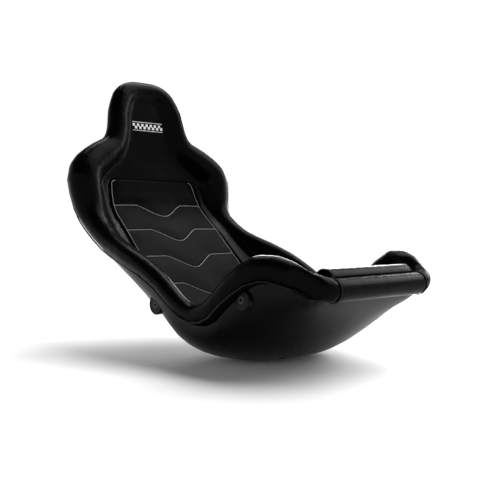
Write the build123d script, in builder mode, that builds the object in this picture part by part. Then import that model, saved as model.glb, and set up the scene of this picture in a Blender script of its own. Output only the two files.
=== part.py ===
"""A one-piece racing bucket seat with a padded roll round its edge, in millimetres.

The seat faces -Y, +Z is up, and X = 0 is its plane of symmetry. The origin is the
bottom centre of the seat's box: the floor under the keel, halfway along. Pieces and
mounts named right are on the +X side, which is the left of the person seated.

The bucket is described by stations, from the crown of the headrest to the front edge.
A station is a plane square to X = 0. It runs from the keel of the shell to the centre
of the padded roll, and every layer of the bucket is a U drawn in that plane.
"""

import os
from collections import namedtuple
from math import asin, atan2, copysign, cos, degrees, hypot, pi, radians, sin, sqrt

from build123d import *

# ---------------------------------------------------------------- driving dimensions

SHELL_WALL = 5.0            # laminate of the outer shell, in the plane of a station
BOND = 0.5                  # clearance where two pieces are sewn or glued together
GLUE_LINE = 3.0             # bond between the shell and the foam
FOAM_GAP = 2.0              # between the foam and the covers
SIDE_GAP = 1.5              # between the centre and the bolsters
ROLL_GAP = 2.0              # gap between the roll and what is sewn to it
COVER = 8.0                 # upholstery with its foam backing
EDGE_ANGLE = 75             # where the shell meets the roll, below the roll's side
SEAT_EDGE = 0.8             # the seat's surface runs this far into the roll's radius
SEAT_EDGE_DROP = 0.2        # and meets it this far below the roll's centre
STEEP_RISE = 30.0           # a seat surface that rises by this has upright sides
ARC_STEPS = 5               # spans of a curve from the keel to the roll
STATION_STEPS = 2           # spans of a loft between two stations
CROWN_STEPS = 10            # spans of the roll over the crown

PIPING_ANGLE = 52           # where the piping lies on the roll
PIPING_RADIUS = 1.8
PIPING_GAP = 1.4            # between the piping and the roll

CHEVRON_PITCH = 96.0        # from one chevron seam to the next
CHEVRON_COUNT = 5
CHEVRON_BEND = 77.0         # half width inside which a chevron slopes down
CHEVRON_TIP = 8.0           # half width of its flat tip
CHEVRON_DROP = 42.0
CHEVRON_ROUND = 24.0        # radius of its corners
PANEL_REACH = 200.0         # past the side edges of the panels
PAN_REACH = 800.0           # past their ends

MOUNT_FACE = 246.0          # side mounting faces, from the plane of symmetry
MOUNT_POINTS = [(-262, 166), (32, 134)]              # (Y, Z), front and rear
BOSS_RADIUS = 24.0
BOSS_DEPTH = 14.0
BOSS_EDGE = 2.0             # chamfer of a pad
HOLE_DEPTH = 40.0           # room for an insert, from the mounting face inwards
INSERT_RADIUS = 9.0
INSERT_FLANGE = 13.0
INSERT_LENGTH = 18.0
INSERT_FLANGE_THICK = 3.0
THREAD_RADIUS = 3.4         # core of an M8 thread
FIT_GAP = 0.25

FRONT_ROLL_CENTRE = (-425, 190)                      # (Y, Z)
FRONT_ROLL_RADIUS = 25.0
FRONT_ROLL_HALF = 146.0
FRONT_ROLL_SKIN = 3.0
LEG_ROLL_CENTRE = (-393, 206)                        # (Y, Z)
LEG_ROLL_RADIUS = 27.0
LEG_ROLL_HALF = 139.0
LEG_ROLL_SKIN = 3.0
LEG_ROLL_GAP = 1.2          # clearance between the leg support and the front roll
LEG_CAP = 4.0
LEG_CAP_CHAMFER = 3.0
BOARD = 5.0                 # plywood base of the leg support
BOARD_WIDTH = 17.0
BOARD_OFFSET = 5.5          # behind the middle of the leg support
BLOCK_TOP = 182.0           # level of the block that carries the leg support
BLOCK_HALF = 90.0
BLOCK_SECTION = [(-366, BLOCK_TOP), (-366, 154), (-396, 175), (-399, BLOCK_TOP)]
STRIP = 1.5                 # hook or loop tape
STRIP_GAP = 0.4
STRIP_WIDTH = 16.0
STRIP_LENGTH = 90.0
STRIP_SPREAD = 62.0         # middle of each strip, from the plane of symmetry

BADGE_SIZE = (104, 30)
BADGE_HEIGHT = 598.0
BADGE_THICK = 0.8

# keel (Y, Z), roll centre (X, Y, Z), roll radius, fullness of the shell's U,
# depth from the outside of the keel to the seat's surface, fullness of the seat's U,
# half width of the centre panels
Station = namedtuple("Station", "keel rim roll full depth seat_full panel", defaults=[0])
CROWN = Station((447, 678), (74, 413, 677), 28, 2.4, 44, 3)
TEMPLE = Station((450, 630), (95, 402, 633), 28, 2.4, 53, 3.5)
EAR = Station((450, 581), (103, 393, 583), 29, 2.4, 58, 4)
NECK = Station((448, 535), (122, 387, 538), 32, 2.4, 60, 4)
COLLAR = Station((445, 501), (166, 381, 508), 38, 2.4, 61, 4)
SHOULDER = Station((440, 468), (210, 374, 476), 42, 2.4, 62, 4, 130)
SHOULDER_SIDE = Station((432, 436), (228, 365, 443), 43, 2.4, 61, 4, 141)
UPPER_ARM = Station((407, 368), (222, 352, 374), 39, 2.3, 63, 4, 152)
WAIST = Station((364, 309), (220, 318, 325), 32, 1.9, 67, 4, 156)
FLANK = Station((286, 231), (229, 240, 277), 27, 1.7, 61, 4, 159)
LUMBAR = Station((206, 151), (241, 148, 246), 25, 1.7, 62, 3.6, 160)
HIP_REAR = Station((136, 91), (246, 70, 219), 23, 1.8, 57, 3, 160)
HIP = Station((68, 46), (249, -3, 183), 21, 1.9, 50, 2.6, 158)
DIP = Station((5, 16), (252, -63, 145), 20, 2.1, 46, 2.6, 152)
DIP_FRONT = Station((-60, 2), (251, -118, 125), 20, 2.2, 45, 2.7, 146)
THIGH = Station((-130, 2), (248, -175, 140), 24, 2.2, 45, 2.8, 140)
THIGH_RISE = Station((-200, 12), (242, -235, 192), 27, 2.1, 46, 2.8, 134)
THIGH_CREST = Station((-260, 33), (228, -300, 232), 29, 2.0, 52, 2.8, 126)
THIGH_FRONT = Station((-320, 73), (206, -360, 224), 27, 1.9, 58, 2.8, 116)
EAR_FRONT = Station((-365, 119), (180, -412, 198), 26, 2.0, 60, 4, 104)
FRONT_EDGE = Station((-404, 161), (FRONT_ROLL_HALF, *FRONT_ROLL_CENTRE), 25, 4, 26, 4)

STATIONS = [
    CROWN, TEMPLE, EAR, NECK, COLLAR, SHOULDER, SHOULDER_SIDE, UPPER_ARM, WAIST, FLANK, LUMBAR,
    HIP_REAR, HIP, DIP, DIP_FRONT, THIGH, THIGH_RISE, THIGH_CREST, THIGH_FRONT, EAR_FRONT, FRONT_EDGE,
]
CROWN_MIDDLE = (0, 422, 699)
CROWN_CORNER = (40, 420, 697)

# ---------------------------------------------------------------- stations in between


def curved(before, first, last, after, share):
    """A number a share of the way from the first to the last, on a smooth curve."""
    slope = (last - before) / 2
    next_slope = (after - first) / 2
    square = 3 * (last - first) - 2 * slope - next_slope
    cube = 2 * (first - last) + slope + next_slope
    return first + slope * share + square * share**2 + cube * share**3


def smoothed(stations):
    """The stations, and the ones that lie smoothly between them."""
    rows = [(*station.keel, *station.rim, *station[2:]) for station in stations]
    rows = [rows[0], *rows, rows[-1]]
    fine = []
    for before, first, last, after in zip(rows, rows[1:], rows[2:], rows[3:]):
        for step in range(STATION_STEPS):
            share = step / STATION_STEPS
            row = [curved(*numbers, share) for numbers in zip(before, first, last, after)]
            fine.append(Station(tuple(row[:2]), tuple(row[2:5]), *row[5:]))
    return fine + [stations[-1]]


ALL = smoothed(STATIONS)


def stretch(first, last):
    """All the stations from one of the named ones to another."""
    return ALL[STATIONS.index(first) * STATION_STEPS:STATIONS.index(last) * STATION_STEPS + 1]


HEAD = stretch(CROWN, SHOULDER_SIDE)
BACK = stretch(SHOULDER_SIDE, HIP)
PAN = stretch(HIP, EAR_FRONT)
SIDE = stretch(NECK, FRONT_EDGE)

# ---------------------------------------------------------------- path of the padded roll

right_run = [station.rim for station in ALL]
left_run = [(-x, y, z) for x, y, z in reversed(right_run)]
crown_run = [(-CROWN_CORNER[0], *CROWN_CORNER[1:]), CROWN_MIDDLE, CROWN_CORNER]
with BuildLine() as roll_line:
    Spline(*left_run, *crown_run, *right_run, tangents=[(-1, 0, 0), (-1, 0, 0)])
roll_path = roll_line.edge()


def along_roll(point):
    """Direction of the padded roll at a point on its path."""
    return roll_path.tangent_at(roll_path.param_at_point(point))


# ---------------------------------------------------------------- curves of a station

# A U is a superellipse: half width, level of the keel, level of its ends, and fullness.
Bowl = namedtuple("Bowl", "half_width low high full")


def height(station):
    """Distance from the keel to the centre of the roll, in the plane of symmetry."""
    return hypot(station.rim[1] - station.keel[0], station.rim[2] - station.keel[1])


def normal(station):
    """Unit vector (Y, Z) from the keel towards the roll."""
    run = station.rim[1] - station.keel[0]
    rise = station.rim[2] - station.keel[1]
    return run / height(station), rise / height(station)


def section_plane(station):
    """The station's plane: local X is lateral, local Y runs from keel to roll."""
    run, rise = normal(station)
    return Plane(origin=(0, *station.keel), x_dir=(1, 0, 0), z_dir=(0, -rise, run))


def surface_point(station, depth):
    """A point (Y, Z) in the plane of symmetry, a depth above the outside of the keel."""
    run, rise = normal(station)
    return station.keel[0] + depth * run, station.keel[1] + depth * rise


def stretching(station, across, up):
    """How much longer the roll's radius is, cut by the station's plane, in a direction."""
    run, rise = normal(station)
    slant = Vector(across, up * run, up * rise).normalized().dot(along_roll(station.rim))
    return 1 / sqrt(1 - slant**2)


def shell_bowl(station, inset):
    """The shell's outer skin, or a layer a given depth inside it."""
    across = station.rim[0] + station.roll * cos(radians(EDGE_ANGLE))
    up = height(station) - station.roll * stretching(station, 0, 1) - ROLL_GAP
    return Bowl(across - inset, inset, up, station.full)


def seat_bowl(station, inset):
    """The seat's surface, or a layer a given depth under it."""
    across = station.rim[0] - SEAT_EDGE * station.roll
    up = height(station) - SEAT_EDGE_DROP * station.roll
    steep = min(1, max(-1, (up - station.depth) / STEEP_RISE))
    sideways = inset * steep
    downward = inset * (1 - abs(steep))
    return Bowl(across + sideways, station.depth - inset, up - downward, station.seat_full)


def bowl_point(bowl, angle):
    """A point of the U; 0 is the keel, and 90 degrees is the end on the right."""
    across = bowl.half_width * abs(sin(radians(angle))) ** (2 / bowl.full)
    drop = (bowl.high - bowl.low) * abs(cos(radians(angle))) ** (2 / bowl.full)
    return copysign(across, angle), bowl.high - drop


def angle_at(bowl, across):
    """Where the U has a given half width."""
    return degrees(asin((across / bowl.half_width) ** (bowl.full / 2)))


def angle_at_roll(station, bowl):
    """Where the U meets the padded roll, found by halving the interval."""
    near, far = 0.0, 90.0
    while far - near > 0.01:
        middle = (near + far) / 2
        x, y = bowl_point(bowl, middle)
        across, up = x - station.rim[0], y - height(station)
        reach = (station.roll + ROLL_GAP) * stretching(station, across, up)
        if hypot(across, up) > reach:
            near = middle
        else:
            far = middle
    return near


def bowl_curve(bowl, start, end, steps):
    """Points of the U from one angle to another."""
    return [bowl_point(bowl, start + (end - start) * step / steps) for step in range(steps + 1)]


def roll_side(station, first, last):
    """The middle of the arc along the roll between two points beside it."""
    x, y = station.rim[0], height(station)
    turns = [atan2(end.Y - y, end.X - x) for end in (first, last)]
    middle = sum(turn - 2 * pi if turn > 0 else turn for turn in turns) / 2
    across, up = cos(middle), sin(middle)
    reach = (station.roll + ROLL_GAP) * stretching(station, across, up)
    return x + reach * across, y + reach * up


# ---------------------------------------------------------------- lofts


def shell_layer(outer, inner):
    """A layer of the shell, between two families of Us."""
    with BuildPart() as layer:
        for station in ALL:
            with BuildSketch(section_plane(station)):
                with BuildLine():
                    low = Spline(*bowl_curve(outer(station), -90, 90, 2 * ARC_STEPS))
                    high = Spline(*bowl_curve(inner(station), -90, 90, 2 * ARC_STEPS))
                    Line(low @ 0, high @ 0)
                    Line(low @ 1, high @ 1)
                make_face()
        loft(ruled=True)
    return layer


def wide_layer(stations, outer, inner):
    """A layer from roll to roll, between two families of Us."""
    with BuildPart() as layer:
        for station in stations:
            under, over = outer(station), inner(station)
            under_end = angle_at_roll(station, under)
            over_end = angle_at_roll(station, over)
            with BuildSketch(section_plane(station)):
                with BuildLine():
                    low = Spline(*bowl_curve(under, -under_end, under_end, 2 * ARC_STEPS))
                    high = Spline(*bowl_curve(over, -over_end, over_end, 2 * ARC_STEPS))
                    x, y = roll_side(station, low @ 1, high @ 1)
                    ThreePointArc(low @ 0, (-x, y), high @ 0)
                    ThreePointArc(low @ 1, (x, y), high @ 1)
                make_face()
        loft(ruled=True)
    return layer


def centre_layer(stations, outer, inner):
    """A layer under the centre panels, between two families of Us."""
    with BuildPart() as layer:
        for station in stations:
            under, over = outer(station), inner(station)
            under_end = angle_at(under, station.panel)
            over_end = angle_at(over, station.panel)
            with BuildSketch(section_plane(station)):
                with BuildLine():
                    low = Spline(*bowl_curve(under, -under_end, under_end, 2 * ARC_STEPS))
                    high = Spline(*bowl_curve(over, -over_end, over_end, 2 * ARC_STEPS))
                    Line(low @ 0, high @ 0)
                    Line(low @ 1, high @ 1)
                make_face()
        loft(ruled=True)
    return layer


def side_layer(stations, outer, inner):
    """A layer of the right bolster, from the centre panels to the padded roll."""
    with BuildPart() as layer:
        for station in stations:
            under, over = outer(station), inner(station)
            inside = station.panel + SIDE_GAP
            under_end = angle_at_roll(station, under)
            over_end = angle_at_roll(station, over)
            with BuildSketch(section_plane(station)):
                with BuildLine():
                    low = Spline(*bowl_curve(under, angle_at(under, inside), under_end, ARC_STEPS))
                    high = Spline(*bowl_curve(over, angle_at(over, inside), over_end, ARC_STEPS))
                    Line(low @ 0, high @ 0)
                    ThreePointArc(low @ 1, roll_side(station, low @ 1, high @ 1), high @ 1)
                make_face()
        loft(ruled=True)
    return layer


def tube_loft(path, points, radii, uprights):
    """A round bar along a path, lofted through circles at points that lie on it.

    The uprights are the directions (Y, Z) that every circle starts from.
    """
    with BuildPart() as bar:
        for point, radius, upright in zip(points, radii, uprights):
            tangent = path.tangent_at(path.param_at_point(point))
            with BuildSketch(Plane(origin=point, x_dir=(0, *upright), z_dir=tangent)):
                Circle(radius)
        loft(ruled=True)
    return bar


def mirrored(piece):
    """The same piece on the other side of the seat."""
    with BuildPart() as twin:
        mirror(piece.part, about=Plane.YZ)
    return twin


def outer_skin(station):
    return shell_bowl(station, 0)


def inner_skin(station):
    return shell_bowl(station, SHELL_WALL)


def foam_base(station):
    return shell_bowl(station, SHELL_WALL + GLUE_LINE)


def foam_top(station):
    return seat_bowl(station, COVER + FOAM_GAP)


def cover_base(station):
    return seat_bowl(station, COVER)


def cover_top(station):
    return seat_bowl(station, 0)


# ---------------------------------------------------------------- shell, side mounts

with BuildPart() as shell_envelope:         # the shell and all that it holds, as a cutter
    for station in ALL:
        with BuildSketch(section_plane(station)):
            with BuildLine():
                skin = Spline(*bowl_curve(outer_skin(station), -90, 90, 2 * ARC_STEPS))
                Line(skin @ 0, skin @ 1)
            make_face()
    loft(ruled=True)

mount_plane = Plane(origin=(MOUNT_FACE, 0, 0), x_dir=(0, 1, 0), z_dir=(1, 0, 0))

with BuildPart() as insert_holes:           # the inserts' room in the shell and the pads
    with BuildSketch(mount_plane):
        with Locations(*MOUNT_POINTS):
            Circle(INSERT_RADIUS + FIT_GAP)
    extrude(amount=-HOLE_DEPTH)
    with BuildSketch(mount_plane.offset(FIT_GAP - INSERT_LENGTH)):
        with Locations(*MOUNT_POINTS):
            Circle(INSERT_FLANGE + FIT_GAP)
    extrude(amount=-HOLE_DEPTH)
    mirror(about=Plane.YZ)

with BuildPart() as outer_shell:
    add(shell_layer(outer_skin, inner_skin).part)
    add(insert_holes.part, mode=Mode.SUBTRACT)

with BuildPart() as right_inserts:
    with BuildSketch(mount_plane):
        with Locations(*MOUNT_POINTS):
            Circle(INSERT_RADIUS)
    extrude(amount=-INSERT_LENGTH)
    with BuildSketch(mount_plane.offset(-INSERT_LENGTH)):
        with Locations(*MOUNT_POINTS):
            Circle(INSERT_FLANGE)
    extrude(amount=-INSERT_FLANGE_THICK)
    with BuildSketch(mount_plane):
        with Locations(*MOUNT_POINTS):
            Circle(THREAD_RADIUS)
    extrude(amount=-INSERT_LENGTH - INSERT_FLANGE_THICK, mode=Mode.SUBTRACT)

with BuildPart() as threaded_inserts:
    add(right_inserts.part)
    mirror(right_inserts.part, about=Plane.YZ)

with BuildPart() as insert_room:            # what the inserts take out of the right-hand foam
    with BuildSketch(mount_plane):
        with Locations(*MOUNT_POINTS):
            Circle(INSERT_FLANGE + BOND)
    extrude(amount=-INSERT_LENGTH - INSERT_FLANGE_THICK - BOND)

# ---------------------------------------------------------------- padded roll and piping

right_side_roll = tube_loft(
    roll_path,
    [station.rim for station in SIDE],
    [station.roll for station in SIDE],
    [normal(station) for station in SIDE],
)
left_side_roll = mirrored(right_side_roll)

NAPE = stretch(CROWN, NECK)
nape_run = [station.rim for station in NAPE]
nape_radii = [station.roll for station in NAPE]
nape_uprights = [normal(station) for station in NAPE]
crown_end = roll_path.param_at_point(CROWN.rim)
crown_start = roll_path.param_at_point((-CROWN.rim[0], *CROWN.rim[1:]))
crown_bend = [
    roll_path @ (crown_start + (crown_end - crown_start) * step / CROWN_STEPS)
    for step in range(1, CROWN_STEPS)
]
head_roll = tube_loft(
    roll_path,
    [(-x, y, z) for x, y, z in reversed(nape_run)] + crown_bend + nape_run,
    nape_radii[::-1] + [CROWN.roll] * len(crown_bend) + nape_radii,
    nape_uprights[::-1] + [normal(CROWN)] * len(crown_bend) + nape_uprights,
)


def piping_point(station):
    """Centre of the piping, in the corner between the roll and the shell."""
    tangent = along_roll(station.rim)
    run, rise = normal(station)
    angle = radians(PIPING_ANGLE)
    outward = Vector(cos(angle), -run * sin(angle), -rise * sin(angle))
    outward = (outward - tangent * outward.dot(tangent)).normalized()
    return Vector(*station.rim) + outward * (station.roll + PIPING_RADIUS + PIPING_GAP)


piping_run = [piping_point(station) for station in SIDE[:-1]]
with BuildLine() as piping_line:
    Spline(*piping_run)
piping_bar, piping_room = [
    tube_loft(piping_line.edge(), piping_run, [radius] * len(piping_run),
              [normal(station) for station in SIDE[:-1]])
    for radius in (PIPING_RADIUS, PIPING_RADIUS + PIPING_GAP)
]

with BuildPart() as rim_piping:
    add(piping_bar.part)
    mirror(piping_bar.part, about=Plane.YZ)

# ---------------------------------------------------------------- mounting pads

with BuildPart() as right_bosses:
    with BuildSketch(mount_plane):
        with Locations(*MOUNT_POINTS):
            Circle(BOSS_RADIUS)
    extrude(amount=-BOSS_DEPTH)
    chamfer(faces().filter_by(Axis.X).sort_by(Axis.X)[-2:].edges(), BOSS_EDGE)
    add(shell_envelope.part, mode=Mode.SUBTRACT)
    add(insert_holes.part, mode=Mode.SUBTRACT)
    add(right_side_roll.part, mode=Mode.SUBTRACT)
    add(piping_room.part, mode=Mode.SUBTRACT)

with BuildPart() as mount_bosses:
    add(right_bosses.part)
    mirror(right_bosses.part, about=Plane.YZ)

# ---------------------------------------------------------------- front roll

front_plane = Plane.YZ.offset(-FRONT_ROLL_HALF)

with BuildPart() as front_roll_room:        # the front roll and its clearance, as a cutter
    with BuildSketch(front_plane):
        with Locations(FRONT_ROLL_CENTRE):
            Circle(FRONT_ROLL_RADIUS + BOND)
    extrude(amount=2 * FRONT_ROLL_HALF)

with BuildPart() as front_roll_foam:
    with BuildSketch(front_plane):
        with Locations(FRONT_ROLL_CENTRE):
            Circle(FRONT_ROLL_RADIUS - FRONT_ROLL_SKIN)
    extrude(amount=2 * FRONT_ROLL_HALF)

with BuildPart() as front_roll_cover:
    with BuildSketch(front_plane):
        with Locations(FRONT_ROLL_CENTRE):
            Circle(FRONT_ROLL_RADIUS)
            Circle(FRONT_ROLL_RADIUS - FRONT_ROLL_SKIN, mode=Mode.SUBTRACT)
    extrude(amount=2 * FRONT_ROLL_HALF)

# ---------------------------------------------------------------- foam and covers

centre_cover = centre_layer(BACK + PAN[1:], cover_base, cover_top)

with BuildPart() as headrest_foam:
    add(wide_layer(HEAD, foam_base, foam_top).part)
    add(head_roll.part, mode=Mode.SUBTRACT)
    add(right_side_roll.part, mode=Mode.SUBTRACT)
    add(left_side_roll.part, mode=Mode.SUBTRACT)

with BuildPart() as headrest_cover:
    add(wide_layer(HEAD, cover_base, cover_top).part)
    add(head_roll.part, mode=Mode.SUBTRACT)
    add(right_side_roll.part, mode=Mode.SUBTRACT)
    add(left_side_roll.part, mode=Mode.SUBTRACT)

back_foam = centre_layer(BACK, foam_base, foam_top)

with BuildPart() as seat_foam:
    add(centre_layer(PAN, foam_base, foam_top).part)
    add(front_roll_room.part, mode=Mode.SUBTRACT)

with BuildPart() as right_bolster_foam:
    add(side_layer(BACK, foam_base, foam_top).part)
    add(insert_room.part, mode=Mode.SUBTRACT)

with BuildPart() as right_thigh_foam:
    add(side_layer(PAN, foam_base, foam_top).part)
    add(insert_room.part, mode=Mode.SUBTRACT)
    add(front_roll_room.part, mode=Mode.SUBTRACT)

with BuildPart() as right_bolster_cover:
    add(side_layer(BACK + PAN[1:], cover_base, cover_top).part)
    add(insert_room.part, mode=Mode.SUBTRACT)
    add(front_roll_room.part, mode=Mode.SUBTRACT)

left_bolster_foam = mirrored(right_bolster_foam)
left_thigh_foam = mirrored(right_thigh_foam)
left_bolster_cover = mirrored(right_bolster_cover)

# ---------------------------------------------------------------- centre panels

# Chevron seams are drawn on a 45 degree plane that starts at the first of them.
first_chevron = surface_point(UPPER_ARM, UPPER_ARM.depth)
panel_plane = Plane(origin=(0, *first_chevron), x_dir=(1, 0, 0), z_dir=(0, -1, 1))


def chevron(level):
    """Corners of a chevron seam, from left to right."""
    return [
        (-PANEL_REACH, level),
        (-CHEVRON_BEND, level),
        (-CHEVRON_TIP, level - CHEVRON_DROP),
        (CHEVRON_TIP, level - CHEVRON_DROP),
        (CHEVRON_BEND, level),
        (PANEL_REACH, level),
    ]


def seam_line(corners):
    """A seam through its corners, which are rounded."""
    if len(corners) == 2:
        return Line(*corners)
    return FilletPolyline(*corners, radius=CHEVRON_ROUND)


def panel(upper_seam, lower_seam):
    """The part of the centre cover between two seams, each from left to right."""
    with BuildPart() as piece:
        add(centre_cover.part)
        with BuildSketch(panel_plane):
            with BuildLine():
                upper = seam_line(upper_seam)
                lower = seam_line(lower_seam)
                Line(upper @ 0, lower @ 0)
                Line(upper @ 1, lower @ 1)
            make_face()
        extrude(amount=PAN_REACH, both=True, mode=Mode.INTERSECT)
    return piece


levels = [-CHEVRON_PITCH * row for row in range(CHEVRON_COUNT)]
top_seam = [(-PANEL_REACH, PAN_REACH), (PANEL_REACH, PAN_REACH)]
pan_seam = [(-PANEL_REACH, -PAN_REACH), (PANEL_REACH, -PAN_REACH)]
back_panels = [panel(top_seam, chevron(levels[0] + BOND))]
for upper, lower in zip(levels, levels[1:]):
    back_panels.append(panel(chevron(upper - BOND), chevron(lower + BOND)))

with BuildPart() as seat_panel:
    add(panel(chevron(levels[-1] - BOND), pan_seam).part)
    add(front_roll_room.part, mode=Mode.SUBTRACT)

# ---------------------------------------------------------------- headrest badge


def badge_base(station):
    return seat_bowl(station, -BOND)


def badge_top(station):
    return seat_bowl(station, -BOND - BADGE_THICK)


with BuildPart() as headrest_badge:
    add(wide_layer(HEAD, badge_base, badge_top).part)
    with BuildSketch(Plane.XZ):
        with Locations((0, BADGE_HEIGHT)):
            RectangleRounded(*BADGE_SIZE, radius=BADGE_SIZE[1] / 6)
    extrude(amount=-CROWN.keel[0], mode=Mode.INTERSECT)

# ---------------------------------------------------------------- leg support

leg_y = LEG_ROLL_CENTRE[0]
front_y, front_z = FRONT_ROLL_CENTRE
tape_y = leg_y + BOARD_OFFSET
hook_base = BLOCK_TOP + STRIP + STRIP_GAP
board_base = hook_base + STRIP
leg_core_half = LEG_ROLL_HALF - LEG_CAP


def leg_section(start, inset):
    """Section of the leg support: a roll, flat below, hollowed behind the front roll."""
    beside_front = front_y + FRONT_ROLL_RADIUS + LEG_ROLL_GAP + inset
    big = 4 * LEG_ROLL_RADIUS
    with BuildSketch(Plane.YZ.offset(start)) as section:
        with Locations(LEG_ROLL_CENTRE):
            Circle(LEG_ROLL_RADIUS - inset)
        with Locations((leg_y, board_base)):
            Rectangle(big, big, align=(Align.CENTER, Align.MAX), mode=Mode.SUBTRACT)
        with Locations(FRONT_ROLL_CENTRE):
            Circle(FRONT_ROLL_RADIUS + LEG_ROLL_GAP + inset, mode=Mode.SUBTRACT)
        with Locations((beside_front, front_z)):
            Rectangle(big, big, align=(Align.MAX, Align.MAX), mode=Mode.SUBTRACT)
    return section.sketch


with BuildPart() as leg_support_board:
    with BuildSketch(Plane.YZ.offset(-leg_core_half)):
        with Locations((tape_y, board_base + BOARD / 2)):
            Rectangle(BOARD_WIDTH, BOARD)
    extrude(amount=2 * leg_core_half)

with BuildPart() as leg_support_foam:
    extrude(leg_section(-leg_core_half, LEG_ROLL_SKIN), amount=2 * leg_core_half)
    add(leg_support_board.part, mode=Mode.SUBTRACT)

with BuildPart() as leg_support_cover:
    extrude(leg_section(-leg_core_half, 0), amount=2 * leg_core_half)
    add(leg_support_foam.part, mode=Mode.SUBTRACT)
    add(leg_support_board.part, mode=Mode.SUBTRACT)

with BuildPart() as leg_support_caps:
    extrude(leg_section(leg_core_half, 0), amount=LEG_CAP)
    chamfer(faces().sort_by(Axis.X)[-1].edges(), LEG_CAP_CHAMFER)
    mirror(about=Plane.YZ)

with BuildPart() as hook_strips:
    with BuildSketch(Plane.XY.offset(hook_base)):
        with Locations((-STRIP_SPREAD, tape_y), (STRIP_SPREAD, tape_y)):
            Rectangle(STRIP_LENGTH, STRIP_WIDTH)
    extrude(amount=STRIP)

with BuildPart() as loop_strips:
    with BuildSketch(Plane.XY.offset(BLOCK_TOP)):
        with Locations((-STRIP_SPREAD, tape_y), (STRIP_SPREAD, tape_y)):
            Rectangle(STRIP_LENGTH, STRIP_WIDTH)
    extrude(amount=STRIP)

with BuildPart() as leg_support_block:
    with BuildSketch(Plane.YZ.offset(-BLOCK_HALF)):
        with BuildLine():
            Polyline(*BLOCK_SECTION, close=True)
        make_face()
    extrude(amount=2 * BLOCK_HALF)

# ---------------------------------------------------------------- files

pieces = {
    "outer_shell": outer_shell,
    "mount_bosses": mount_bosses,
    "threaded_inserts": threaded_inserts,
    "head_roll": head_roll,
    "right_side_roll": right_side_roll,
    "left_side_roll": left_side_roll,
    "rim_piping": rim_piping,
    "front_roll_foam": front_roll_foam,
    "front_roll_cover": front_roll_cover,
    "headrest_foam": headrest_foam,
    "headrest_cover": headrest_cover,
    "headrest_badge": headrest_badge,
    "back_foam": back_foam,
    "right_bolster_foam": right_bolster_foam,
    "left_bolster_foam": left_bolster_foam,
    "right_bolster_cover": right_bolster_cover,
    "left_bolster_cover": left_bolster_cover,
    "seat_foam": seat_foam,
    "right_thigh_foam": right_thigh_foam,
    "left_thigh_foam": left_thigh_foam,
    "seat_panel": seat_panel,
    "leg_support_block": leg_support_block,
    "loop_strips": loop_strips,
    "hook_strips": hook_strips,
    "leg_support_board": leg_support_board,
    "leg_support_foam": leg_support_foam,
    "leg_support_cover": leg_support_cover,
    "leg_support_caps": leg_support_caps,
}
for number, piece in enumerate(back_panels, start=1):
    pieces[f"back_panel_{number}"] = piece

os.makedirs("parts", exist_ok=True)
for name, piece in pieces.items():
    piece.part.label = name
    export_step(piece.part, f"parts/{name}.step")
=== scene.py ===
"""Looks of the racing seat: a satin shell, black vinyl over foam, seam threads, welts and a badge.

Everything is in metres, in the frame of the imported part. The seat faces -Y.
"""

from math import cos, exp, pi, radians, sin, sqrt, tan

import bmesh
import bpy
import numpy as np
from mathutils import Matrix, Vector
from mathutils.bvhtree import BVHTree


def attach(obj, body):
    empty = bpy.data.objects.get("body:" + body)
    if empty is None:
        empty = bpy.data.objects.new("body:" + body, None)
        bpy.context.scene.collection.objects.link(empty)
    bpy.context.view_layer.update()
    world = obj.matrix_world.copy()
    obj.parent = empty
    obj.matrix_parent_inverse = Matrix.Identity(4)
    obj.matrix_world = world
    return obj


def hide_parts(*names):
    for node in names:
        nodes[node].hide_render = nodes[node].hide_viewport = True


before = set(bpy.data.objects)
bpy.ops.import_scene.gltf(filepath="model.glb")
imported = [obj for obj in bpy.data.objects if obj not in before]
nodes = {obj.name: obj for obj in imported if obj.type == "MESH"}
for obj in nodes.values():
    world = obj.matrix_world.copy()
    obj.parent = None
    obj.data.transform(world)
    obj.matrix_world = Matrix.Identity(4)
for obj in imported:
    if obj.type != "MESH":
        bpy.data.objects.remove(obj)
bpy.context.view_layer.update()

BACK_PANELS = [f"back_panel_{number}" for number in range(1, 6)]
PANELS = BACK_PANELS + ["seat_panel"]
BOLSTERS = ["right_bolster_cover", "left_bolster_cover"]
ROLLS = ["head_roll", "right_side_roll", "left_side_roll"]
FOAMS = [
    "headrest_foam", "back_foam", "right_bolster_foam", "left_bolster_foam",
    "seat_foam", "right_thigh_foam", "left_thigh_foam",
]

# ---------------------------------------------------------------- materials


def shader(name, color, roughness, **inputs):
    """A new material, and its node tree and principled shader."""
    material = bpy.data.materials.new(name)
    material.use_nodes = True
    tree = material.node_tree
    principled = tree.nodes["Principled BSDF"]
    principled.inputs["Base Color"].default_value = (*color, 1)
    principled.inputs["Roughness"].default_value = roughness
    for socket, value in inputs.items():
        principled.inputs[socket.replace("_", " ")].default_value = value
    return material, tree, principled


def noise(tree, scale, detail=2.0):
    """Noise in the object's own coordinates, as the output to link from."""
    place = tree.nodes.new("ShaderNodeTexCoord")
    texture = tree.nodes.new("ShaderNodeTexNoise")
    texture.inputs["Scale"].default_value = scale
    texture.inputs["Detail"].default_value = detail
    tree.links.new(place.outputs["Object"], texture.inputs["Vector"])
    return texture.outputs["Fac"]


def cells(tree, scale):
    """Small rounded cells in the object's own coordinates."""
    place = tree.nodes.new("ShaderNodeTexCoord")
    texture = tree.nodes.new("ShaderNodeTexVoronoi")
    texture.inputs["Scale"].default_value = scale
    tree.links.new(place.outputs["Object"], texture.inputs["Vector"])
    return texture.outputs["Distance"]


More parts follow.
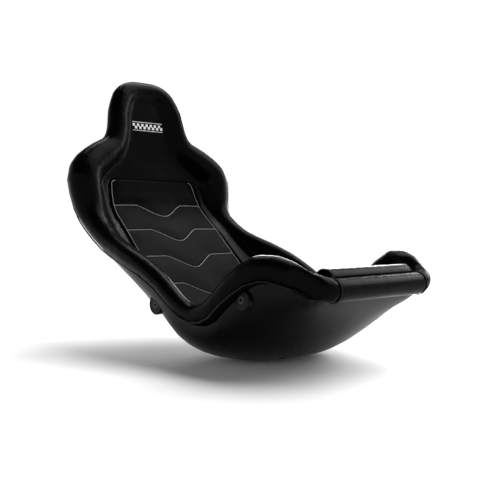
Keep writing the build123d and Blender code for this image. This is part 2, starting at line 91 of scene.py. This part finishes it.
def bumped(tree, principled, layers):
    """Adds layers of bumps: pairs of a height output and its depth in metres."""
    before = None
    for height, depth in layers:
        bump = tree.nodes.new("ShaderNodeBump")
        bump.inputs["Strength"].default_value = 1.0
        bump.inputs["Distance"].default_value = depth
        tree.links.new(height, bump.inputs["Height"])
        if before:
            tree.links.new(before, bump.inputs["Normal"])
        before = bump.outputs["Normal"]
    tree.links.new(before, principled.inputs["Normal"])


def varied(tree, source, socket, low, high):
    """Lets a value of the shader wander between two limits with noise, which seldom leaves 0.3 to 0.7."""
    spread = tree.nodes.new("ShaderNodeMapRange")
    spread.inputs["From Min"].default_value = 0.3
    spread.inputs["From Max"].default_value = 0.7
    spread.inputs["To Min"].default_value = low
    spread.inputs["To Max"].default_value = high
    tree.links.new(source, spread.inputs["Value"])
    tree.links.new(spread.outputs["Result"], socket)


def vinyl(name, color, roughness, specular):
    """Vinyl with soft unevenness, grain and pores."""
    material, tree, principled = shader(
        name, color, roughness, Specular_IOR_Level=specular, Sheen_Weight=0.003, Sheen_Roughness=0.4
    )
    varied(tree, noise(tree, 9, 3), principled.inputs["Roughness"], roughness - 0.05, roughness + 0.06)
    bumped(tree, principled, [
        (noise(tree, 26, 2), 0.0012),
        (noise(tree, 160, 3), 0.00022),
        (cells(tree, 850), 0.00007),
    ])
    return material


roll_vinyl = vinyl("roll_vinyl", (0.0006, 0.0006, 0.0007), 0.27, 0.035)
cover_vinyl = vinyl("cover_vinyl", (0.0006, 0.0006, 0.0007), 0.45, 0.015)
panel_vinyl = vinyl("panel_vinyl", (0.0045, 0.0045, 0.0048), 0.55, 0.02)

shell_paint, tree, principled = shader(
    "shell_satin", (0.0012, 0.0012, 0.0013), 0.28, Specular_IOR_Level=0.09
)
varied(tree, noise(tree, 6, 4), principled.inputs["Roughness"], 0.26, 0.36)
bumped(tree, principled, [(noise(tree, 60, 2), 0.0002), (noise(tree, 700, 1), 0.00002)])

welt_vinyl, tree, principled = shader("welt_vinyl", (0.004, 0.004, 0.0043), 0.35, Specular_IOR_Level=0.15)
bumped(tree, principled, [(noise(tree, 900, 1), 0.0001)])

steel, tree, principled = shader("black_steel", (0.035, 0.035, 0.037), 0.4, Metallic=1.0)
varied(tree, noise(tree, 400, 3), principled.inputs["Roughness"], 0.32, 0.5)

foam_grey, tree, principled = shader("foam_grey", (0.004, 0.004, 0.0042), 0.95, Specular_IOR_Level=0.05)
bumped(tree, principled, [(cells(tree, 500), 0.0006)])

# Light grey thread: partly the thread's own colour, and partly a painted highlight for the lit raised top
# edge of each panel.
thread_and_edge_highlight, tree, principled = shader("thread_and_edge_highlight", (0.2, 0.2, 0.205), 0.6, Sheen_Weight=0.1)
bumped(tree, principled, [(noise(tree, 2500, 1), 0.0001)])

white_thread, tree, principled = shader("white_thread", (0.62, 0.62, 0.63), 0.55, Sheen_Weight=0.3)
bumped(tree, principled, [(noise(tree, 1800, 1), 0.0002)])

tape_cloth, tree, principled = shader("tape_cloth", (0.015, 0.015, 0.015), 0.9, Sheen_Weight=0.3)
bumped(tree, principled, [(cells(tree, 900), 0.0004)])

birch, tree, principled = shader("birch", (0.52, 0.38, 0.22), 0.6)
bumped(tree, principled, [(noise(tree, 120, 4), 0.0003)])

# ---------------------------------------------------------------- meshes


def linked(name, mesh):
    piece = bpy.data.objects.new(name, mesh)
    bpy.context.scene.collection.objects.link(piece)
    return piece


def joined(name, *names):
    """A new object made of copies of CAD nodes' meshes."""
    whole = bmesh.new()
    for node in names:
        whole.from_mesh(nodes[node].data)
    bmesh.ops.remove_doubles(whole, verts=whole.verts, dist=1e-6)
    mesh = bpy.data.meshes.new(name)
    whole.to_mesh(mesh)
    whole.free()
    return linked(name, mesh)


def applied(piece):
    """Makes the piece's modifiers part of its mesh."""
    shown = piece.evaluated_get(bpy.context.evaluated_depsgraph_get())
    mesh = bpy.data.meshes.new_from_object(shown)
    piece.modifiers.clear()
    piece.data = mesh
    return piece


def remeshed(piece, voxel, rounds):
    """Turns the mesh into small even faces and rounds its edges."""
    remesh = piece.modifiers.new("Remesh", "REMESH")
    remesh.mode = "VOXEL"
    remesh.voxel_size = voxel
    smooth = piece.modifiers.new("Smooth", "SMOOTH")
    smooth.factor = 0.5
    smooth.iterations = rounds
    return applied(piece)


def subdivided(piece):
    """Splits each face in four and rounds the surface."""
    fine = piece.modifiers.new("Fine", "SUBSURF")
    fine.levels = fine.render_levels = 1
    return applied(piece)


def smooth_shaded(piece):
    piece.data.polygons.foreach_set("use_smooth", [True] * len(piece.data.polygons))
    piece.data.update()
    return piece


def coordinates(piece):
    points = np.zeros(len(piece.data.vertices) * 3, np.float32)
    piece.data.vertices.foreach_get("co", points)
    return points.reshape(-1, 3)


def placed(piece, points):
    piece.data.vertices.foreach_set("co", np.asarray(points, np.float32).ravel())
    piece.data.update()


def tree_of(*names):
    """A search tree over some CAD nodes."""
    points, faces = [], []
    for node in names:
        start = len(points)
        mesh = nodes[node].data
        points += [vertex.co.copy() for vertex in mesh.vertices]
        faces += [[start + index for index in face.vertices] for face in mesh.polygons]
    return BVHTree.FromPolygons(points, faces)


def crowned(piece, neighbours, rise, reach):
    """Puffs the piece up away from the seams that it shares with its neighbours."""
    normals = normals_of(piece)
    points = coordinates(piece)
    lifts = np.zeros(len(points), np.float32)
    for index, point in enumerate(points):
        distance = neighbours.find_nearest(Vector(point))[3]
        lifts[index] = rise * (1 - exp(-(distance / reach) ** 2))
    placed(piece, points + normals * lifts[:, None])
    return piece


def normals_of(piece):
    normals = np.zeros(len(piece.data.vertices) * 3, np.float32)
    piece.data.vertex_normals.foreach_get("vector", normals)
    return normals.reshape(-1, 3)


def closed_up(piece, voxel, reach):
    """Fills the grooves that are narrower than twice the reach, as one stretched skin does."""
    remeshed(piece, voxel, 1)
    placed(piece, coordinates(piece) + normals_of(piece) * reach)
    remeshed(piece, voxel, 1)
    placed(piece, coordinates(piece) - normals_of(piece) * reach)
    return piece


def corded(name, runs, radius):
    """Thin round threads along runs of points."""
    curve = bpy.data.curves.new(name, "CURVE")
    curve.dimensions = "3D"
    curve.bevel_depth = radius
    curve.bevel_resolution = 2
    for run in runs:
        spline = curve.splines.new("POLY")
        spline.points.add(len(run) - 1)
        for point, place in zip(spline.points, run):
            point.co = (*place, 1)
    holder = linked(name, curve)
    shown = holder.evaluated_get(bpy.context.evaluated_depsgraph_get())
    mesh = bpy.data.meshes.new_from_object(shown)
    bpy.data.objects.remove(holder)
    return smooth_shaded(linked(name, mesh))


def dressed(piece, material, body="seat"):
    """Gives the piece its only material and the body that carries it."""
    piece.data.materials.clear()
    piece.data.materials.append(material)
    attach(piece, body)
    return piece


# ---------------------------------------------------------------- cloth

SIM_FRAMES = 14


def sewn(piece, pressure):
    """Gives the piece a cloth skin under pressure, to be run with the others."""
    cloth = piece.modifiers.new("Cloth", "CLOTH")
    cloth.settings.quality = 4
    cloth.settings.mass = 0.3
    cloth.settings.tension_stiffness = 20
    cloth.settings.compression_stiffness = 20
    cloth.settings.bending_stiffness = 2
    cloth.settings.use_pressure = True
    cloth.settings.uniform_pressure_force = pressure
    cloth.settings.effector_weights.gravity = 0
    cloth.collision_settings.use_collision = False
    cloth.point_cache.frame_start = 1
    cloth.point_cache.frame_end = SIM_FRAMES
    return piece


def simulated(pieces, cap):
    """Runs the cloth of all the pieces at once, and limits how far they move."""
    before = {piece.name: coordinates(piece) for piece in pieces}
    for step in range(1, SIM_FRAMES + 1):
        bpy.context.scene.frame_set(step)
    for piece in pieces:
        applied(piece)
        start = before[piece.name]
        moved = coordinates(piece) - start
        length = np.linalg.norm(moved, axis=1, keepdims=True)
        placed(piece, start + moved * np.minimum(1, cap / np.maximum(length, 1e-9)))
    bpy.context.scene.frame_set(1)


# ---------------------------------------------------------------- shell

shell = smooth_shaded(joined("shell", "outer_shell"))
shell.data.set_sharp_from_angle(angle=radians(40))
dressed(shell, shell_paint)
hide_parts("outer_shell")

# ---------------------------------------------------------------- foam, panels and padded skin

FOAM_INSET = 0.003          # keeps the foam under its covers
SKIN_RISE = 0.001           # makes up for what smoothing takes off the padded skin

foam = remeshed(joined("foam_core", *FOAMS), voxel=0.006, rounds=4)
placed(foam, coordinates(foam) - normals_of(foam) * FOAM_INSET)
dressed(smooth_shaded(foam), foam_grey)
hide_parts(*FOAMS)

for node in PANELS:
    panel = remeshed(joined(node + "_skin", node), voxel=0.003, rounds=5)
    dressed(panel, cover_vinyl if node == "back_panel_1" else panel_vinyl)
    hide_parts(node)
    others = tree_of(*[name for name in PANELS + BOLSTERS if name != node])
    smooth_shaded(crowned(panel, others, rise=0.0035, reach=0.02))

skin = joined("padded_skin", *ROLLS, *BOLSTERS, "headrest_cover")
skin = remeshed(closed_up(skin, voxel=0.004, reach=0.014), voxel=0.004, rounds=14)
placed(skin, coordinates(skin) + normals_of(skin) * SKIN_RISE)
dressed(skin, roll_vinyl)
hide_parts(*ROLLS, *BOLSTERS, "headrest_cover")

front = remeshed(joined("front_roll", "front_roll_cover", "front_roll_foam"), voxel=0.004, rounds=4)
dressed(front, roll_vinyl)
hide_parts("front_roll_cover", "front_roll_foam")

thigh = remeshed(joined("thigh_roll", "leg_support_cover"), voxel=0.003, rounds=3)
dressed(thigh, roll_vinyl, "leg_support")
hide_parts("leg_support_cover")

simulated([sewn(front, pressure=1.5)], cap=0.0015)
for piece in (front, thigh):
    subdivided(piece)
for piece in (skin, front, thigh):
    smooth_shaded(piece)

for node, material in (
    ("mount_bosses", shell_paint), ("threaded_inserts", steel), ("rim_piping", welt_vinyl),
    ("loop_strips", tape_cloth), ("hook_strips", tape_cloth), ("leg_support_board", birch),
    ("leg_support_foam", foam_grey), ("leg_support_caps", roll_vinyl), ("leg_support_block", foam_grey),
):
    nodes[node].data.materials.clear()
    nodes[node].data.materials.append(material)

# ---------------------------------------------------------------- seams and badge

# The seams are laid out on a 45 degree plane in front of the back, and cast onto the panels.
# A place on the plane is a distance to the side and a level above the first chevron.
SEAM_ORIGIN = Vector((0, 0.3444, 0.3748))
UP_SEAMS = Vector((0, sqrt(0.5), sqrt(0.5)))
INTO_SEAT = Vector((0, sqrt(0.5), -sqrt(0.5)))
PITCH = 0.096               # from one chevron to the next
CHEVRONS = 5
CHEVRON_BEND = 0.077        # half width inside which a chevron slopes down
CHEVRON_TIP = 0.008         # half width of its flat tip
CHEVRON_DROP = 0.042        # from the sides down to the tip
CHEVRON_ROUNDING = 0.35     # share of the drop that follows a round curve
SEAM_INSET = 0.0028         # how far inside a panel's edge a thread runs
TOP_INSET = 0.007           # the same, under the headrest
THREAD = 0.0009             # radius
CLEAR_OF_SEAT = 0.6         # how far before the plane a cast begins
FACING = 0.2                # how squarely a face must meet a cast to count, as a cosine
PANEL_LIMIT = 0.2           # the panels end before this, to the side and above the first chevron
HALVING_ENDS = 0.0005       # how closely the edge of the panels is found
panel_tree = tree_of(*PANELS)


def on_panels(across, level):
    """The point of the panels under a place on the plane of the chevrons, or None."""
    start = SEAM_ORIGIN + Vector((across, 0, 0)) + UP_SEAMS * level - INTO_SEAT * CLEAR_OF_SEAT
    place, normal = panel_tree.ray_cast(start, INTO_SEAT)[:2]
    if place is None or normal.dot(INTO_SEAT) > -FACING:
        return None
    return place + normal * THREAD / 2


def chevron_level(across, row):
    """Level of a chevron: flat at the sides, down to a short flat tip, with round corners."""
    slope = min(1, max(0, (CHEVRON_BEND - abs(across)) / (CHEVRON_BEND - CHEVRON_TIP)))
    rounded = slope * slope * (3 - 2 * slope)
    return -PITCH * row - CHEVRON_DROP * (rounded * CHEVRON_ROUNDING + slope * (1 - CHEVRON_ROUNDING))


def last_on_panels(place_at, inside, outside):
    """The largest number whose place is still on the panels, found by halving."""
    while abs(outside - inside) > HALVING_ENDS:
        middle = (inside + outside) / 2
        if on_panels(*place_at(middle)):
            inside = middle
        else:
            outside = middle
    return inside


def side_at(level):
    """How far the seam along the side of the panels is from the middle, at a level."""
    return last_on_panels(lambda across: (across, level), 0.0, PANEL_LIMIT) - SEAM_INSET


def top_at(across):
    """Level of the seam under the headrest, at a distance from the middle."""
    return last_on_panels(lambda level: (across, level), 0.0, PANEL_LIMIT) - TOP_INSET


def run_through(places):
    """The points of the panels under the places that are on them."""
    points = [on_panels(across, level) for across, level in places]
    return [point for point in points if point]


BELOW_SEAM = 0.004          # how far below a chevron the width of the panels is taken
ACROSS_STEPS = 60           # from the middle to one side
runs = []
for row in range(CHEVRONS):
    side = side_at(-PITCH * row - BELOW_SEAM)
    acrosses = [side * step / ACROSS_STEPS for step in range(-ACROSS_STEPS, ACROSS_STEPS + 1)]
    runs.append(run_through([(across, chevron_level(across, row) - SEAM_INSET) for across in acrosses]))

BEND = 0.012                # radius of the upper corners of the border round the panels
NEAR_CORNER = 0.1           # distance from the middle at which the border's top is taken
BEND_STEPS = 6
BORDER_STEP = 0.012         # between points down the sides
BORDER_STEPS = 38
TOP_STEPS = 20              # from the middle to one side
corner_level = top_at(NEAR_CORNER) - BEND
top_side = side_at(corner_level)
levels = [corner_level - step * BORDER_STEP for step in range(BORDER_STEPS)]
for turn in (-1, 1):
    bends = [radians(90 * step / BEND_STEPS) for step in range(BEND_STEPS, -1, -1)]
    corner = [
        (turn * (top_side - BEND * (1 - cos(bend))), top_at(top_side - BEND) - BEND * (1 - sin(bend)))
        for bend in bends
    ]
    runs.append(run_through(corner + [(turn * side_at(level), level) for level in levels]))
across_top = [(top_side - BEND) * step / TOP_STEPS for step in range(-TOP_STEPS, TOP_STEPS + 1)]
runs.append(run_through([(across, top_at(abs(across))) for across in across_top]))
# The threads run just inside each panel's top edge, so their light grey also paints the highlight of that
# raised edge.
seams = corded("thread_and_edge_highlight", runs, THREAD)
dressed(seams, thread_and_edge_highlight)

# A welt goes round each end of the front roll, in the seam with the side roll.
EAR_SIDE = 0.1465
EAR_MIDDLE = (-0.425, 0.190)
EAR_RADIUS = 0.0256
WELT = 0.0012               # radius of the welt itself
RING_STEPS = 48
rings = []
for side in (-EAR_SIDE, EAR_SIDE):
    turns = [2 * pi * step / RING_STEPS for step in range(RING_STEPS + 1)]
    rings.append([
        (side, EAR_MIDDLE[0] + EAR_RADIUS * cos(turn), EAR_MIDDLE[1] + EAR_RADIUS * sin(turn))
        for turn in turns
    ])
dressed(corded("ear_welts", rings, WELT), welt_vinyl)

BADGE_MIDDLE = 0.598        # height of the badge
CHECK = 0.0074              # side of a square of the badge
COLUMNS = range(-7, 7)
STITCH_RISE = 0.0007        # above the skin
STITCH_ROOT = -0.001        # under it
RULE = 0.0015               # width of the two lines of the badge
RULE_LEVELS = (-0.0125, 0.0110)     # of their lower edges, from the badge's middle
skin_tree = BVHTree.FromObject(skin, bpy.context.evaluated_depsgraph_get())


def on_headrest(across, up, rise):
    """A point above the skin of the headrest, seen from the front."""
    place, normal = skin_tree.ray_cast(Vector((across, -1, BADGE_MIDDLE + up)), Vector((0, 1, 0)))[:2]
    return place + normal * rise


badge_mesh = bmesh.new()


def patch(left, right, low, high):
    """A raised block of stitches between two sides and two levels of the badge."""
    corners = [(left, low), (right, low), (right, high), (left, high)]
    top = [badge_mesh.verts.new(on_headrest(*corner, STITCH_RISE)) for corner in corners]
    base = [badge_mesh.verts.new(on_headrest(*corner, STITCH_ROOT)) for corner in corners]
    badge_mesh.faces.new(top)
    for index in range(4):
        after = (index + 1) % 4
        badge_mesh.faces.new([top[after], top[index], base[index], base[after]])


for column in COLUMNS:
    for line in range(-1, 1):
        if (column + line) % 2:
            patch(column * CHECK, (column + 1) * CHECK, line * CHECK, (line + 1) * CHECK)
for column in COLUMNS:
    for level in RULE_LEVELS:
        patch(column * CHECK, (column + 1) * CHECK, level, level + RULE)
mesh = bpy.data.meshes.new("badge")
badge_mesh.to_mesh(mesh)
badge_mesh.free()
badge = linked("badge", mesh)
dressed(badge, white_thread)
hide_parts("headrest_badge")

# ---------------------------------------------------------------- floor, light and camera


def plain(name, color, roughness):
    """A material with no bumps."""
    material, tree, principled = shader(name, color, roughness, Specular_IOR_Level=0.1)
    varied(tree, noise(tree, 2, 2), principled.inputs["Roughness"], roughness - 0.05, roughness)
    return material


bpy.ops.mesh.primitive_plane_add(size=60, location=(0, 0, 0))
floor = bpy.context.object
floor.name = "floor"
floor.data.materials.append(plain("floor_white", (0.92, 0.92, 0.92), 0.9))

world = bpy.data.worlds.new("studio")
bpy.context.scene.world = world
world.use_nodes = True
tree = world.node_tree
place = tree.nodes.new("ShaderNodeTexCoord")
split = tree.nodes.new("ShaderNodeSeparateXYZ")
fall = tree.nodes.new("ShaderNodeMapRange")
fall.interpolation_type = "SMOOTHSTEP"
# Bright near the horizon, dim overhead.
for socket, value in (("From Min", 0.3), ("From Max", 0.55), ("To Min", 1.02), ("To Max", 0.05)):
    fall.inputs[socket].default_value = value
tree.links.new(place.outputs["Generated"], split.inputs["Vector"])
tree.links.new(split.outputs["Z"], fall.inputs["Value"])
tree.links.new(fall.outputs["Result"], tree.nodes["Background"].inputs["Strength"])
tree.nodes["Background"].inputs["Color"].default_value = (1, 1, 1, 1)

sun = bpy.data.lights.new("sky", "SUN")
sun.energy = 3.5
sun.angle = radians(60)
holder = bpy.data.objects.new("sky", sun)
bpy.context.scene.collection.objects.link(holder)
holder.rotation_euler = Vector((-0.62, 0.25, -0.9)).to_track_quat("-Z", "Y").to_euler()


def lamp(name, place, target, size, power):
    """A rectangular lamp at a place, turned to a target."""
    light = bpy.data.lights.new(name, "AREA")
    light.shape = "RECTANGLE"
    light.size, light.size_y = size
    light.energy = power
    holder = bpy.data.objects.new(name, light)
    bpy.context.scene.collection.objects.link(holder)
    holder.location = place
    holder.rotation_euler = (Vector(target) - Vector(place)).to_track_quat("-Z", "Y").to_euler()


lamp("top", place=(0.9, 1.1, 2.4), target=(0, 0, 0.3), size=(2.0, 0.4), power=25)
lamp("rim", place=(2.3, 1.3, 0.95), target=(0, 0, 0.25), size=(2.4, 0.5), power=60)
lamp("streak", place=(2.2, -0.3, 1.0), target=(0, 0.2, 0.4), size=(0.5, 0.9), power=12)
bpy.context.scene.view_settings.view_transform = "Standard"

camera = bpy.data.objects.new("camera", bpy.data.cameras.new("camera"))
bpy.context.scene.collection.objects.link(camera)
CAMERA_PLACE = (-1.3718, -1.4698, 0.332)
CAMERA_TURN = radians(42.94)
CAMERA_DIP = radians(1.432)
camera.location = CAMERA_PLACE
look = Vector((sin(CAMERA_TURN), cos(CAMERA_TURN), -tan(CAMERA_DIP)))
camera.rotation_euler = look.to_track_quat("-Z", "Y").to_euler()
camera.data.lens = 60
camera.data.sensor_width = 36
camera.data.clip_start = 0.05
bpy.context.scene.camera = camera
